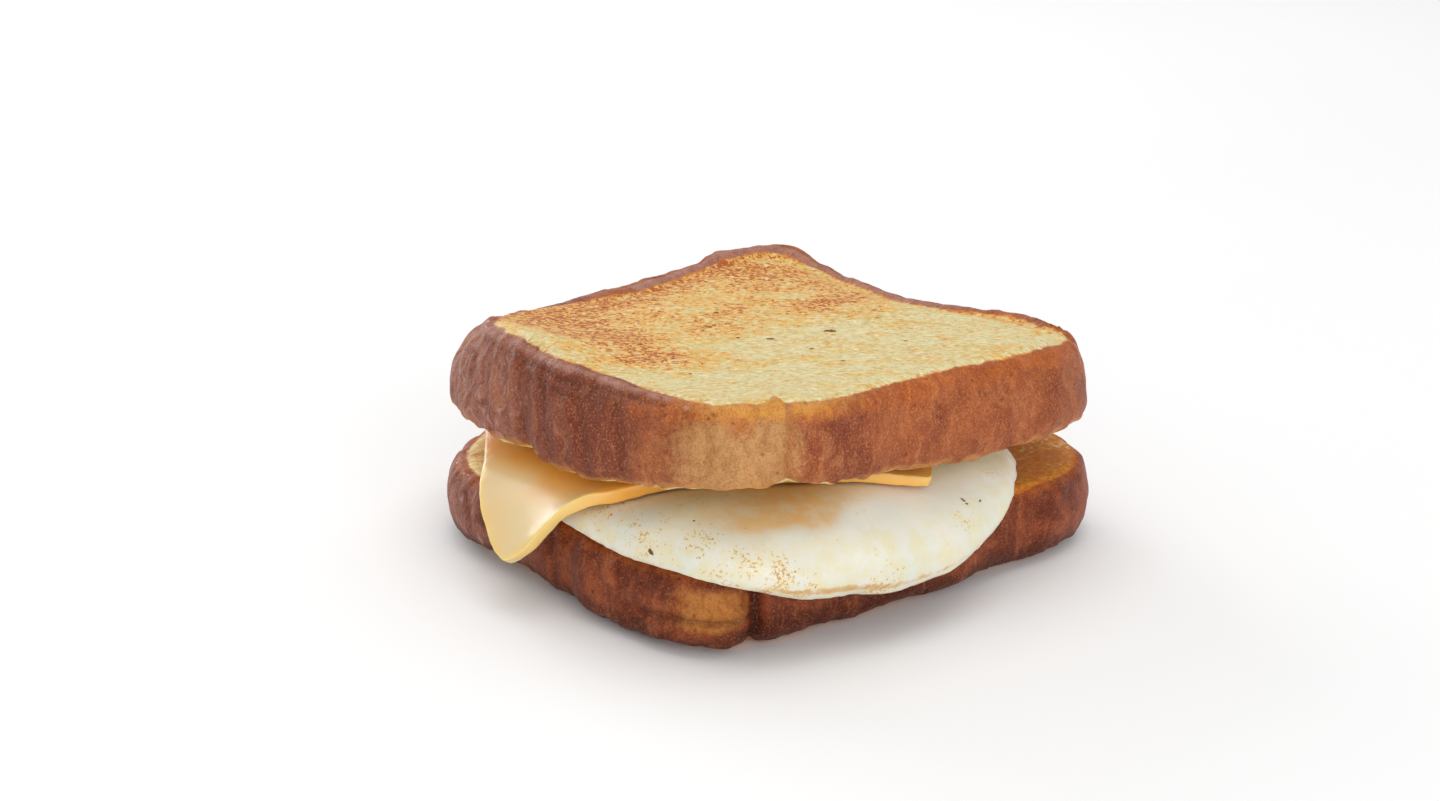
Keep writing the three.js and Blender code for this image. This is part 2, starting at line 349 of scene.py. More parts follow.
def makeCrumbGroup():
    # the cut face: pale crumb with short fibres and pits, toasted where the mask says, with painted
    # shade in its hollows and a painted highlight on its fibres
    inputs = {
        "Toast": 0,
        "Fibre": 1,
        "Cream": paint(221, 208, 154),
        "Butter": paint(216, 186, 98),
        "Gold": paint(238, 186, 98),
        "Brown": paint(176, 84, 28),
    }
    tree, given, result = newGroup("crumbSurface", inputs)
    place = placeIn(tree)
    turn = math.radians(crumbGrain["turn"])
    turned = addNode(tree, "VectorRotate", {"Vector": place, "Angle": turn}).outputs[0]
    stretched = {0: turned, 1: (0.5, 1, 1)}
    along = addNode(tree, "VectorMath", stretched, operation="MULTIPLY").outputs[0]
    fibres = noiseField(tree, along, crumbGrain["fibres"], 3, 0.6)
    grain = noiseField(tree, place, crumbGrain["grain"], 3, 0.65)
    broad = noiseField(tree, along, crumbGrain["broad"], 3, 0.6)
    clumps = noiseField(tree, place, crumbGrain["clumps"], 2, 0.6)
    cells = cellField(tree, place, crumbGrain["cells"])

    # how far each spot has browned: the mask, broken up by the grain
    field = plus(tree, given["Toast"], ramp(tree, broad, 0.3, 0.7, -0.3, 0.3))
    field = plus(tree, field, ramp(tree, grain, 0.36, 0.64, -0.4, 0.4))
    field = plus(tree, field, ramp(tree, fibres, 0.35, 0.65, 0.16, -0.16))
    toasted = ramp(tree, field, 0.1, 0.8)
    burnt = plus(tree, clumps, times(tree, given["Toast"], 0.16))
    deep = times(tree, ramp(tree, field, 0.42, 1, 0, 0.95), ramp(tree, burnt, 0.575, 0.675))

    buttered = ramp(tree, given["Toast"], 0, 0.35, 0, 0.5)
    yellow = plus(tree, ramp(tree, broad, 0.44, 0.68, 0, 0.7), buttered)
    hue = mixColour(tree, yellow, given["Cream"], given["Butter"])
    hue = mixColour(tree, toasted, hue, given["Gold"])
    # painted shade in the hollows between the fibres, and in the open cells
    hollows = times(tree, ramp(tree, fibres, 0.5, 0.34), ramp(tree, toasted, 0, 1, 0.55, 1))
    hue = darken(tree, times(tree, hollows, given["Fibre"]), hue, crumbGrain["pitShade"])
    hue = darken(tree, ramp(tree, cells, 0.08, 0.34, 0.5, 0), hue, crumbGrain["cellShade"])
    # painted highlight on the fibres' tops
    light = times(tree, ramp(tree, fibres, 0.53, 0.68, 0, 0.75), ramp(tree, toasted, 0, 1, 1, 0.45))
    hue = mixColour(tree, times(tree, light, given["Fibre"]), hue, crumbGrain["fibreHighlight"])
    bumps = plus(tree, times(tree, fibres, 1.1), times(tree, cells, 0.7))
    found = {
        "Color": mixColour(tree, deep, hue, given["Brown"]),
        "Height": plus(tree, bumps, times(tree, grain, 0.8)),
        "Roughness": ramp(tree, grain, 0.35, 0.65, 0.46, 0.62),
    }
    fillInputs(tree, result, found)
    return tree


def makeCrustGroup():
    # baked crust: its own colour, broken up by grain and pale specks, with painted shade and painted
    # sheen along upright streaks and painted shade in the pores
    inputs = {
        "Base": paint(170, 104, 66),
        "Speck": paint(214, 160, 118),
        "Sheen": paint(190, 150, 138),
        "Streaks": 0,
    }
    tree, given, result = newGroup("crustGrain", inputs)
    place = placeIn(tree)
    spot = addNode(tree, "SeparateXYZ", {0: place}).outputs
    around = times(tree, calculate(tree, "ARCTAN2", spot["Y"], spot["X"]), sliceRadius)
    sway = noiseField(tree, place, crustGrain["sway"], 2)
    around = plus(tree, around, ramp(tree, sway, 0.3, 0.7, -1.6 * mm, 1.6 * mm))
    rise = times(tree, spot["Z"], 0.24)
    upright = addNode(tree, "CombineXYZ", {"X": around, "Z": rise}).outputs[0]
    streaks = noiseField(tree, upright, crustGrain["streaks"], 3, 0.6)
    grain = noiseField(tree, place, crustGrain["grain"], 3, 0.65)
    fine = noiseField(tree, place, crustGrain["fine"], 2, 0.6)
    pores = cellField(tree, place, crustGrain["pores"])
    mottle = noiseField(tree, upright, crustGrain["mottle"], 4, 0.65)

    blotches = ramp(tree, mottle, 0.36, 0.58, 0.7, 0)
    hue = darken(tree, blotches, given["Base"], crustGrain["mottleTint"])
    hue = mixColour(tree, ramp(tree, mottle, 0.52, 0.68, 0, 0.3), hue, given["Speck"])
    hue = darken(tree, ramp(tree, grain, 0.34, 0.6, 0.5, 0), hue, crustGrain["grainTint"])
    hue = darken(tree, ramp(tree, fine, 0.36, 0.52, 0.7, 0), hue, crustGrain["fineTint"])
    hue = mixColour(tree, ramp(tree, fine, 0.55, 0.7, 0, 0.5), hue, given["Speck"])
    # painted shade in the streaks' furrows
    dark = times(tree, ramp(tree, streaks, 0.5, 0.34), given["Streaks"])
    hue = darken(tree, dark, hue, crustGrain["streakShade"])
    # painted sheen on the streaks' ridges
    light = times(tree, ramp(tree, streaks, 0.54, 0.7, 0, 0.65), given["Streaks"])
    hue = mixColour(tree, light, hue, given["Sheen"])
    # painted shade in the pores
    hue = darken(tree, ramp(tree, pores, 0.05, 0.2, 0.6, 0), hue, crustGrain["poreShade"])
    bumps = plus(tree, times(tree, fine, 0.9), grain)
    bumps = plus(tree, bumps, times(tree, times(tree, streaks, given["Streaks"]), 1.4))
    found = {
        "Color": hue,
        "Height": plus(tree, bumps, ramp(tree, pores, 0, 0.25, -0.9, 0)),
        "Roughness": ramp(tree, grain, 0.3, 0.7, 0.4, 0.56),
    }
    fillInputs(tree, result, found)
    return tree


crumbGroup = makeCrumbGroup()
crustGroup = makeCrustGroup()
print("node groups made")


# the camera's place, and what it sees at a spot of the picture
view = {
    "aim": (-0.0105, -0.0032, 0.0231),
    "azimuth": 48,  # degrees, from -Y towards +X
    "elevation": 20.8,
    "distance": 0.6,
    "lens": 79.5,
}
picture = {"width": 1440, "height": 801, "film": 36}


def viewAxes():
    # right, up and backwards, as unit vectors
    turn, rise = math.radians(view["azimuth"]), math.radians(view["elevation"])
    flat = math.cos(rise)
    back = Vector((math.sin(turn) * flat, -math.cos(turn) * flat, math.sin(rise)))
    right = Vector((math.cos(turn), math.sin(turn), 0))
    return right, back.cross(right), back


def surfaceOf(piece):
    corners = [vertex.co for vertex in piece.data.vertices]
    return BVHTree.FromPolygons(corners, [face.vertices for face in piece.data.polygons])


def seenAt(surface, across, down):
    # the point of a surface under a pixel of the picture, and its normal
    right, up, back = viewAxes()
    scale = picture["film"] / view["lens"] / picture["width"]
    x = (across - picture["width"] / 2) * scale
    y = (down - picture["height"] / 2) * scale
    eye = Vector(view["aim"]) + back * view["distance"]
    place, normal, *_ = surface.ray_cast(eye, (right * x - up * y - back).normalized())
    return place, normal


def nearLine(points, surface, pixels):
    # how far each point (metres) is from a line drawn over the picture, in millimetres
    dots = []
    for (x0, y0), (x1, y1) in zip(pixels, pixels[1:]):
        steps = max(2, int(math.hypot(x1 - x0, y1 - y0) / 3))
        for k in range(steps + 1):
            place, _ = seenAt(surface, x0 + (x1 - x0) * k / steps, y0 + (y1 - y0) * k / steps)
            if place:
                dots.append(place)
    nearest = np.full(len(points), np.inf)
    for dot in dots:
        nearest = np.minimum(nearest, ((points - np.array(dot)) ** 2).sum(1))
    return np.sqrt(nearest) / mm


def spotsOver(points, surface, entries):
    # soft round spots; entries: across, down (pixels of the picture), reach (mm), amount
    total = np.zeros(len(points))
    for across, down, reach, amount in entries:
        middle, _ = seenAt(surface, across, down)
        if middle:
            gap = np.linalg.norm(points - np.array(middle), axis=1) / mm
            total = np.maximum(total, amount * ridge(gap, reach))
    return total


# the two slices
crumbEdge = [  # across, down: pixels of the picture where the upper crumb meets its crust
    (500, 327), (513, 334), (527, 342), (541, 349), (560, 358), (585, 366), (600, 371), (620, 378),
    (640, 386), (680, 398), (720, 405), (760, 403),
    (768, 401), (775, 396), (783, 400), (800, 401), (850, 394), (900, 381), (960, 366), (1000, 358),
    (1040, 350), (1068, 338), (1060, 330), (1040, 326), (1000, 320), (950, 312), (900, 302), (860, 289),
    (830, 278), (800, 265), (760, 251), (700, 270), (600, 298), (560, 307), (520, 315), (505, 318),
]
upperRim = [  # across, down: pixels along the rim's mauve band of painted sheen
    (497, 334), (513, 342), (527, 349), (541, 356), (560, 366), (585, 373), (600, 377), (620, 384),
    (640, 390), (668, 399),
]
# folds in the crust: pixels along them, half width and height (mm), how much darker painted shade makes
# them
upperFolds = [
    ([(484, 334), (512, 350), (535, 362), (560, 374), (585, 381),
      (603, 386), (629, 395), (664, 405)], 0.5, -0.4, 0.6),
    ([(533, 368), (541, 377), (552, 378), (560, 382), (569, 387)], 0.6, 0.5, 0),
    ([(531, 372), (539, 382), (552, 384), (560, 388), (570, 392)], 0.5, -0.4, 0.5),
    ([(578, 386), (590, 390), (598, 397)], 1.6, -0.3, 0.45),
    ([(541, 376), (543, 400), (545, 430), (549, 452)], 0.8, -0.5, 0.45),
    ([(533, 378), (534, 400), (536, 432)], 0.8, 0.35, 0),
    ([(565, 392), (568, 412), (573, 436), (575, 460)], 0.9, 0.45, 0),
    ([(577, 392), (581, 420), (586, 455), (588, 470)], 1.1, -0.4, 0.35),
    ([(601, 398), (605, 430), (609, 475)], 1.2, 0.3, 0),
    ([(616, 402), (620, 435), (623, 480)], 1.2, -0.35, 0.3),
    ([(631, 408), (633, 440), (636, 480)], 1.3, 0.25, 0),
    ([(505, 352), (506, 385), (508, 425)], 0.7, -0.35, 0.35),
    ([(519, 350), (520, 390), (523, 430)], 0.7, -0.35, 0.35),
    ([(490, 345), (488, 380), (490, 415)], 0.7, -0.3, 0.3),
    ([(472, 350), (469, 385), (472, 412)], 0.7, -0.3, 0.3),
]
lowerFolds = [
    ([(640, 612), (664, 617), (690, 622), (714, 625), (738, 623), (752, 617)], 0.7, -0.9, 0.55),
    ([(650, 622), (680, 630), (712, 634), (742, 630)], 1.5, 0.5, 0),
    ([(551, 533), (553, 555), (556, 580)], 1, -0.5, 0.4),
    ([(563, 530), (568, 560), (575, 590)], 1.4, 0.4, 0),
    ([(596, 548), (600, 580), (606, 604)], 1.4, -0.3, 0.25),
    ([(470, 470), (464, 495), (470, 520)], 0.8, -0.3, 0.3),
    ([(484, 480), (480, 510), (488, 540)], 0.8, -0.3, 0.3),
]
lowerSlice = {
    "node": "bread_bottom",
    "centre": (0, 0, 0),
    "pitch": 0,
    "roll": 0,
    "band": [(0, 2.6), (-120, 1.2, 30), (0, -0.4, 40)],  # crust width on the upper face
    "lowBand": 5,
    "shoulder": [(0, 0.2)],
    "folds": lowerFolds,
    "leaning": 0,  # how far its far side leans in, mm
    "carries": (11.6, -10, 46),  # the egg's middle and reach: what lies there pushes the crust flat
    "crease": {"at": -46, "width": 0.9, "depth": 1.6},
    "wrinkles": [(-118, 24, 0.3), (-70, 14, 0.12), (160, 40, 0.2)],
}
upperSlice = {
    "node": "bread_top",
    "centre": (1.5 * mm, -1.5 * mm, 24.1 * mm),
    "pitch": -3.7,
    "roll": -3.8,
    "crumbEdge": crumbEdge,
    "lowBand": 2,
    "shoulder": [(0, 0.2), (-132, 1.6, 14), (-110, 2, 12), (-88, 1.4, 14)],  # slope down, mm
    "folds": upperFolds,
    "leaning": 1,
    "carries": None,
    "crease": {"at": -40, "width": 1.1, "depth": 0.5},
    "wrinkles": [(-124, 22, 0.42), (-92, 14, 0.2), (160, 40, 0.24)],
}
voxel = 0.62 * mm  # how finely a slice is remeshed
crustForm = {  # low relief of the crust, in mm
    "swells": [(7, 0.28, 11), (2.6, 0.14, 12), (1.3, 0.06, 13)],
    "pits": [(3.4, 0.9, 15, 0.5, 0.28)],
    "foot": [(1.8, 0.4, 17), (4, 0.3, 18)],
    "bead": {"in": 1.6, "width": 0.9, "height": 0.45},
    "groove": {"out": 0.2, "width": 0.6, "depth": 0.3},
    "trough": {"in": 3.6, "width": 0.6, "depth": 0.3},
    "sunkBack": 0.7,
    "leanAt": (-146, 18),  # bearing and width of the far side that leans in, degrees
}
crumbForm = {
    "swells": [(11, 0.16, 21), (3, 0.08, 22)],
    "pits": [(2.1, 0.85, 23, 0.6, 0.32), (6.5, 1.1, 24, 0.35, 0.5)],
}


def turnOf(slice):
    return Euler((math.radians(slice["pitch"]), math.radians(slice["roll"]), 0)).to_matrix()


def rimAt(table, bearing):
    # the slice's radius (mm) at a bearing, from a table with one entry for each degree
    return np.interp(bearing % 360, np.arange(len(table)) + 0.5, table, period=360)


def mapSlice(piece, slice):
    # where each vertex is on its slice: bearing, inset from the rim in mm, and level up the crust
    turn = np.array(turnOf(slice))
    local = (readVertices(piece, "co") - np.array(slice["centre"])) @ turn / mm
    bearing = bearingOf(local)
    radius = np.hypot(local[:, 0], local[:, 1])
    bins = 360
    place = np.floor(bearing).astype(int) % bins
    order = np.argsort(place, kind="stable")
    starts = np.searchsorted(place[order], np.arange(bins))

    def around(values, how):
        found = how.reduceat(values[order], starts)
        wide = np.concatenate([found[-4:], found, found[:4]])
        return np.convolve(wide, np.ones(5) / 5, "same")[4:-4]

    def lookUp(table):
        share = bearing - np.floor(bearing) - 0.5
        other = (place + np.where(share > 0, 1, -1)) % bins
        return table[place] * (1 - np.abs(share)) + table[other] * np.abs(share)

    rimTable = around(radius, np.maximum)
    rim = lookUp(rimTable)
    outer = radius > 0.93 * rim
    low = lookUp(around(np.where(outer, local[:, 2], 99), np.minimum))
    high = lookUp(around(np.where(outer, local[:, 2], -99), np.maximum))
    return {
        "local": local,
        "bearing": bearing,
        "radius": radius,
        "inset": rim - radius,
        "level": np.clip((local[:, 2] - low) / (high - low), 0, 1),
        "rimTable": rimTable,
    }


def readSpots(spots):
    return (spots[key] for key in ("local", "bearing", "inset", "level"))


def sumOfBumps(entries, bearing):
    total = np.full(len(bearing), float(entries[0][1]))
    for at, amount, width in entries[1:]:
        total += amount * bump(bearing, at, width)
    return total


def seenBand(piece, slice, spots):
    # how far in the crust comes at each bearing, from the edge of the crumb in the picture
    surface = surfaceOf(piece)
    found = []
    for across, down in slice["crumbEdge"]:
        place, _ = seenAt(surface, across, down)
        if place:
            x, y, _ = (place - Vector(slice["centre"])) @ turnOf(slice) / mm
            bearing = math.degrees(math.atan2(y, x))
            found.append((bearing, rimAt(spots["rimTable"], bearing) - math.hypot(x, y)))
    print("crust width found at", len(found), "places")
    bearings, widths = np.array(found).T
    return np.interp(spots["bearing"], bearings, np.clip(widths, 1.2, 9), period=360)


def bandOf(piece, slice, spots):
    # the crust's width (mm) for each vertex: on the upper face, and lower down
    local = spots["local"]
    if "crumbEdge" in slice:
        band = seenBand(piece, slice, spots)
    else:
        band = sumOfBumps(slice["band"], spots["bearing"])
    band = band + swells(local, [(5, 0.3, 3), (2, 0.2, 4)])
    return np.where(spots["level"] > 0.5, band, slice["lowBand"] + 0.4 * softNoise(local, 5, 5))


def makeSlice(name, slice):
    piece = mergedCopy(slice["node"], name)
    subdivide(piece, 2)
    applyModifier(piece, "REMESH", mode="VOXEL", voxel_size=voxel)
    spots = mapSlice(piece, slice)
    local, bearing, inset, level = readSpots(spots)
    band = bandOf(piece, slice, spots)
    crumb = smoothStep(-0.6, 0.6, inset - band)
    crust = 1 - crumb
    onTop = smoothStep(0.6, 0.9, level)

    # crust: blotches, upright wrinkles and pores
    along = np.radians(bearing) * sliceRadius / mm + 1.8 * softNoise(local, 7, 26)
    upright = np.stack([along, local[:, 2], np.zeros(len(along))], axis=1)
    ribs = sum(bump(bearing, at, width) * depth for at, width, depth in slice["wrinkles"])
    relief = crust * swells(local, crustForm["swells"])
    relief += crust * ribs * softNoise(upright, (2.6, 14, 1), 14)
    relief += crust * (0.05 + 0.45 * ribs) * softNoise(upright, (1.1, 7, 1), 19)
    relief -= crust * pits(local, crustForm["pits"])

    # where the crust comes far in over the upper face, its shoulder slopes down to the rim
    outward = np.clip(1 - inset / band, 0, 1) * smoothStep(0.3, 1, level)
    drop = sumOfBumps(slice["shoulder"], bearing) * outward**1.3

    # the raised rim between two hollow lines, and the sunk strip behind it at the back
    form = crustForm["bead"]
    bead = ridge(inset - np.maximum(0.5 * band, band - form["in"]), form["width"]) * onTop
    rim = form["height"] * bead
    form = crustForm["groove"]
    rim -= form["depth"] * ridge(inset - band - form["out"], form["width"]) * onTop
    form = crustForm["trough"]
    trough = ridge(inset - band + form["in"], form["width"]) * smoothStep(4, 6, band)
    rim -= form["depth"] * trough * onTop
    relief += rim * (0.75 + 0.6 * softNoise(local, 3.2, 16))
    back = smoothStep(30, 60, bearing) + smoothStep(-150, -170, bearing)
    strip = smoothStep(7, 0, inset - band) * smoothStep(0, 1.2, inset - band)
    relief -= crustForm["sunkBack"] * back * strip * onTop
    foot = smoothStep(0.2, 0.0, level) * smoothStep(5, 2, inset)
    relief += foot * swells(local, crustForm["foot"])

    # the deep crease at the front corner, the leaning far side and the drawn folds, with painted shade
    # along the grooved folds
    creaseAt = slice["crease"]
    turned = bearing - creaseAt["at"] + 1.2 * softNoise(local, 6, 8)
    crease = ridge(np.radians(turned) * spots["radius"], creaseAt["width"])
    crease = crease * smoothStep(9, 2, inset)
    relief -= creaseAt["depth"] * crease
    leaning = slice["leaning"] * bump(bearing, *crustForm["leanAt"])
    relief -= leaning * smoothStep(0.4, 1, level) * crust
    points, surface = readVertices(piece, "co"), surfaceOf(piece)
    foldShade = np.zeros(len(points))
    for pixels, width, height, shade in slice["folds"]:
        cover = ridge(nearLine(points, surface, pixels), width)
        relief += height * cover * (0.75 + 0.5 * softNoise(local, 3, 27))
        # painted shade along the grooved folds
        foldShade = np.maximum(foldShade, shade * cover)

    # crumb: slow swells and open cells
    relief += crumb * swells(local, crumbForm["swells"])
    relief -= crumb * pits(local, crumbForm["pits"])
    if slice["carries"]:
        x, y, reach = slice["carries"]
        under = smoothStep(reach + 1.5, reach, np.hypot(local[:, 0] - x, local[:, 1] - y))
        under = under * smoothStep(0.6, 0.85, level)
        relief = np.where(relief > 0, relief * (1 - under), relief) - 0.1 * under
    pushOut(piece, relief)
    points = readVertices(piece, "co")
    points[:, 2] -= drop * mm
    moveVertices(piece, points)

    spots["band"] = band
    masks = {
        "crumb": crumb,
        "rimBead": bead * crust * smoothStep(-0.3, 0.4, softNoise(local, 2.6, 25)),
        "crease": crease,
        "foldShade": foldShade * crust,
    }
    paintMasks(piece, masks)
    smoothShade(piece)
    print(name, "has", len(points), "vertices")
    return piece, spots


def makeBreadMaterial(name, look):
    material, tree, shader, place = newMaterial(name)
    wobble = noiseField(tree, place, 1.6, 3, 0.6)
    slow = noiseField(tree, place, 9, 2)
    crumb = useGroup(tree, crumbGroup, {"Toast": maskOf(tree, "toast"), **look["crumb"]})
    blotch = noiseField(tree, place, 7, 3, 0.6)
    hue = mixColour(tree, ramp(tree, blotch, 0.34, 0.66), look["light"], look["dark"])
    for mask, share, tint in look["tints"]:
        # each tint covers its mask, with an edge that wanders
        cover = plus(tree, maskOf(tree, mask), ramp(tree, wobble, 0.3, 0.7, -0.16, 0.16))
        hue = mixColour(tree, ramp(tree, cover, 0.1, 0.9, 0, share), hue, tint)
    # painted shade in the lower slice's deep crease (the upper slice's crease tint is pale) and along
    # the grooved folds
    creased = ramp(tree, maskOf(tree, "crease"), 0.25, 1, 0, 0.85)
    layers = [(creased, look["creaseToneAndShade"]), (maskOf(tree, "foldShade"), look["foldShadeColour"])]
    hue = layOver(tree, hue, layers)
    grain = {"Base": hue, "Speck": look["speck"], "Streaks": maskOf(tree, "streaks")}
    crust = useGroup(tree, crustGroup, grain)

    # crumb over crust, with a wandering edge and a gold seam between them
    edge = plus(tree, maskOf(tree, "crumb"), ramp(tree, wobble, 0.3, 0.7, -0.22, 0.22))
    isCrumb = ramp(tree, edge, 0.38, 0.68)
    seam = times(tree, ramp(tree, edge, 0.15, 0.5), ramp(tree, edge, 0.95, 0.6))
    seam = times(tree, seam, ramp(tree, slow, 0.35, 0.6, 0.25, 0.8))
    hue = mixColour(tree, isCrumb, crust["Color"], crumb["Color"])
    hue = mixColour(tree, seam, hue, look["seamColour"])
    height, rough = (
        addNode(tree, "Mix", {0: isCrumb, 2: crust[key], 3: crumb[key]}).outputs[0]
        for key in ("Height", "Roughness")
    )

    # small buttery glints on the raised rim
    fine = noiseField(tree, place, 0.8)
    glints = times(tree, maskOf(tree, "rimBead"), ramp(tree, fine, 0.5, 0.6))
    buttered = ramp(tree, glints, 0.3, 0.9, 0, 0.24)
    given = {
        "Base Color": hue,
        "Normal": bumpOf(tree, height, 0.65, 0.35),
        "Roughness": calculate(tree, "SUBTRACT", rough, buttered),
        "Coat Weight": ramp(tree, glints, 0.3, 0.9, 0, 0.6),
        "Coat Roughness": 0.2,
        **softness(0.12, 1.6, 0.8, 0.4),
        "Specular IOR Level": look["specular"],
    }
    fillInputs(tree, shader, given)
    return material


upperBread, upperSpots = makeSlice("upperBread", upperSlice)
lowerBread, lowerSpots = makeSlice("lowerBread", lowerSlice)

# toasted patches of the upper face: x, y, half width, half depth (mm), turn (degrees), amount
toastPatches = [
    (-37, -10, 8, 28, 0, 0.95),
    (-40, 8, 6, 30, 0, 0.8),
    (-31, 24, 13, 15, 30, 0.6),
    (-13, -28, 14, 9, -8, 0.6),
    (-21, -34, 11, 7, -8, 0.8),
    (3, -32, 9, 8, 0, 0.7),
    (-29, -26, 11, 10, 20, 0.9),
    (-6, 22, 7, 14, 15, 0.62),
    (4, 19, 4, 9, -10, 0.5),
    (-14, 8, 9, 16, 35, 0.3),
    (-8, -6, 8, 10, 30, 0.4),
    (-24, -10, 10, 12, 0, 0.4),
    (-18, 30, 12, 6, -30, 0.45),
    (6, 38, 14, 3, 0, 0.6),
    (30, 38, 14, 3, 0, 0.55),
]
# toasted spots placed over the picture: across, down (pixels), reach (mm), amount
toastSpots = [(575, 336, 6, 1), (600, 346, 5, 0.9), (548, 327, 5, 0.9)]


def toastOver(local, patches):
    total = np.zeros(len(local))
    for x, y, halfWidth, halfDepth, turn, amount in patches:
        cos, sin = math.cos(math.radians(turn)), math.sin(math.radians(turn))
        dx, dy = local[:, 0] - x, local[:, 1] - y
        across = (dx * cos + dy * sin) / halfWidth
        deep = (dy * cos - dx * sin) / halfDepth
        off = across**2 + deep**2
        total = np.maximum(total, amount * np.exp(-(off**1.4))) + 0.25 * amount * np.exp(-off)
    return total


def streaksOver(spots, far):
    # upright streaks: full on the far side wall, half on the sides that the picture doesn't show
    bearing = spots["bearing"]
    hidden = np.maximum(smoothStep(30, 70, bearing), smoothStep(-150, -165, bearing))
    return np.maximum(far, 0.5 * hidden) * smoothStep(1, 0.8, spots["level"])


def paintUpperSlice():
    local, bearing, inset, level = readSpots(upperSpots)
    points, surface = readVertices(upperBread, "co"), surfaceOf(upperBread)
    side = local[:, 0] + 0.12 * local[:, 1] + 3 * softNoise(local, 9, 30)
    toast = toastOver(local, toastPatches) + 0.24 * smoothStep(12, -6, side)
    toast = toast + 0.08 * softNoise(local, 5, 31)
    toast = np.maximum(toast, spotsOver(points, surface, toastSpots))
    paleStrip = bump(bearing, -100, 38) + 0.8 * bump(bearing, 110, 22)
    toast = toast * (1 - 0.9 * smoothStep(7, 4.2, inset) * paleStrip)

    drift = 6 * softNoise(local, 9, 32)
    # mauve crust on the far side, partly painted sheen
    far = smoothStep(-100, -112, bearing + drift) * smoothStep(-178, -160, bearing)
    ember = smoothStep(-112, -102, bearing + drift) * smoothStep(-54, -84, bearing + 1.4 * drift)
    tan = bump(bearing + 0.6 * drift, -47, 13) * smoothStep(-34, -40, bearing)
    shadow = bump(bearing + 0.5 * drift, -30, 7) * smoothStep(0.9, 0.7, level)
    glow = smoothStep(0.66, 0.96, level + 0.14 * softNoise(local, 4, 33))
    glow = glow * smoothStep(-84, -56, bearing + drift) * smoothStep(60, 24, bearing)
    # painted sheen: a band just inside the crust at the back, and one along the drawn rim line
    lit = ridge(inset - upperSpots["band"] + 1.4, 2.2) * smoothStep(0.8, 0.95, level)
    sheenLine = ridge(nearLine(points, surface, upperRim), 1.2) * (0.8 + 0.3 * softNoise(local, 1.5, 36))
    masks = {
        "toast": np.where(level > 0.5, toast, 0.1),
        "mauveAndSheen": far,
        "streaks": streaksOver(upperSpots, far),
        "ember": ember,
        "tan": tan * smoothStep(1.1, 0.7, level),
        "shadow": shadow,
        "glow": glow * (0.75 + 0.5 * softNoise(local, 8, 35)),
        "footEdgeAndShade": smoothStep(0.14, 0.02, level + 0.06 * softNoise(local, 3, 34)),
        "rimSheen": np.maximum(sheenLine, lit * smoothStep(60, 80, bearing)),
        "peak": bump(bearing, -42, 16) * smoothStep(0.7, 1, level),
    }
    paintMasks(upperBread, masks)


def paintLowerSlice():
    local, bearing, inset, level = readSpots(lowerSpots)
    toast = 0.95 + 0.15 * softNoise(local, 12, 41) + 0.2 * smoothStep(7, 2, inset)
    drift = 5 * softNoise(local, 8, 42)
    # mauve crust on the far side, partly painted sheen
    far = smoothStep(-92, -104, bearing + drift)
    tan = bump(bearing + 0.4 * drift, -53, 7) * (bearing < -46)
    # painted shade at the foot of the crust, reaching higher where the egg overhangs the front; on the
    # upper slice the same mask is a pale cut edge
    reach = 0.45 + 0.4 * smoothStep(-48, -44, bearing) * smoothStep(0, -20, bearing)
    masks = {
        "toast": toast - 1.35 * bump(bearing, -135, 26),
        "mauveAndSheen": far,
        "streaks": streaksOver(lowerSpots, far),
        "tan": tan * smoothStep(0.95, 0.7, level) * smoothStep(0.2, 0.4, level),
        "glow": smoothStep(0.82, 0.97, level) * 0.7,
        "footEdgeAndShade": smoothStep(reach, 0.05, level + 0.1 * softNoise(local, 4, 44)),
        # painted sheen along the top rim
        "rimSheen": smoothStep(0.9, 1, level) * 0.3,
    }
    paintMasks(lowerBread, masks)


paintUpperSlice()
paintLowerSlice()

upperLook = {
    "crumb": {},
    "light": paint(178, 100, 52),
    "dark": paint(152, 76, 36),
    "speck": paint(206, 142, 90),
    "tints": [
        ("ember", 0.9, paint(128, 60, 38)),
        ("mauveAndSheen", 0.85, paint(162, 104, 86)),
        ("tan", 0.9, paint(202, 154, 96)),
        ("footEdgeAndShade", 0.6, paint(214, 156, 88)),
        ("glow", 0.8, paint(192, 102, 34)),
        ("peak", 0.8, paint(226, 166, 70)),
        ("shadow", 0.6, paint(126, 56, 30)),
        ("rimSheen", 0.9, paint(176, 126, 112)),
    ],
    "creaseToneAndShade": paint(176, 112, 58),
    "foldShadeColour": paint(84, 38, 26),
    "seamColour": paint(206, 124, 48),
    "specular": 0.28,
}
lowerLook = {
    "crumb": {
        "Fibre": 0.15,
        "Cream": paint(248, 226, 162),
        "Butter": paint(204, 152, 76),
        "Gold": paint(206, 138, 50),
        "Brown": paint(190, 110, 34),
    },
    "light": paint(154, 79, 45),
    "dark": paint(110, 48, 24),
    "speck": paint(180, 112, 74),
    "tints": [
        ("mauveAndSheen", 0.75, paint(164, 108, 92)),
        ("tan", 0.9, paint(190, 126, 56)),
        # painted shade at the foot, under the egg
        ("footEdgeAndShade", 0.8, paint(70, 24, 8)),
        ("glow", 0.8, paint(190, 104, 42)),
        ("rimSheen", 0.4, paint(150, 92, 66)),
    ],
    # painted shade in the deep crease
    "creaseToneAndShade": paint(60, 24, 12),
    "foldShadeColour": paint(56, 22, 12),
    "seamColour": paint(190, 106, 40),
    "specular": 0.18,
}
upperBread.data.materials.append(makeBreadMaterial("upperBreadToasted", upperLook))
lowerBread.data.materials.append(makeBreadMaterial("lowerBreadToasted", lowerLook))
print("slices dressed")


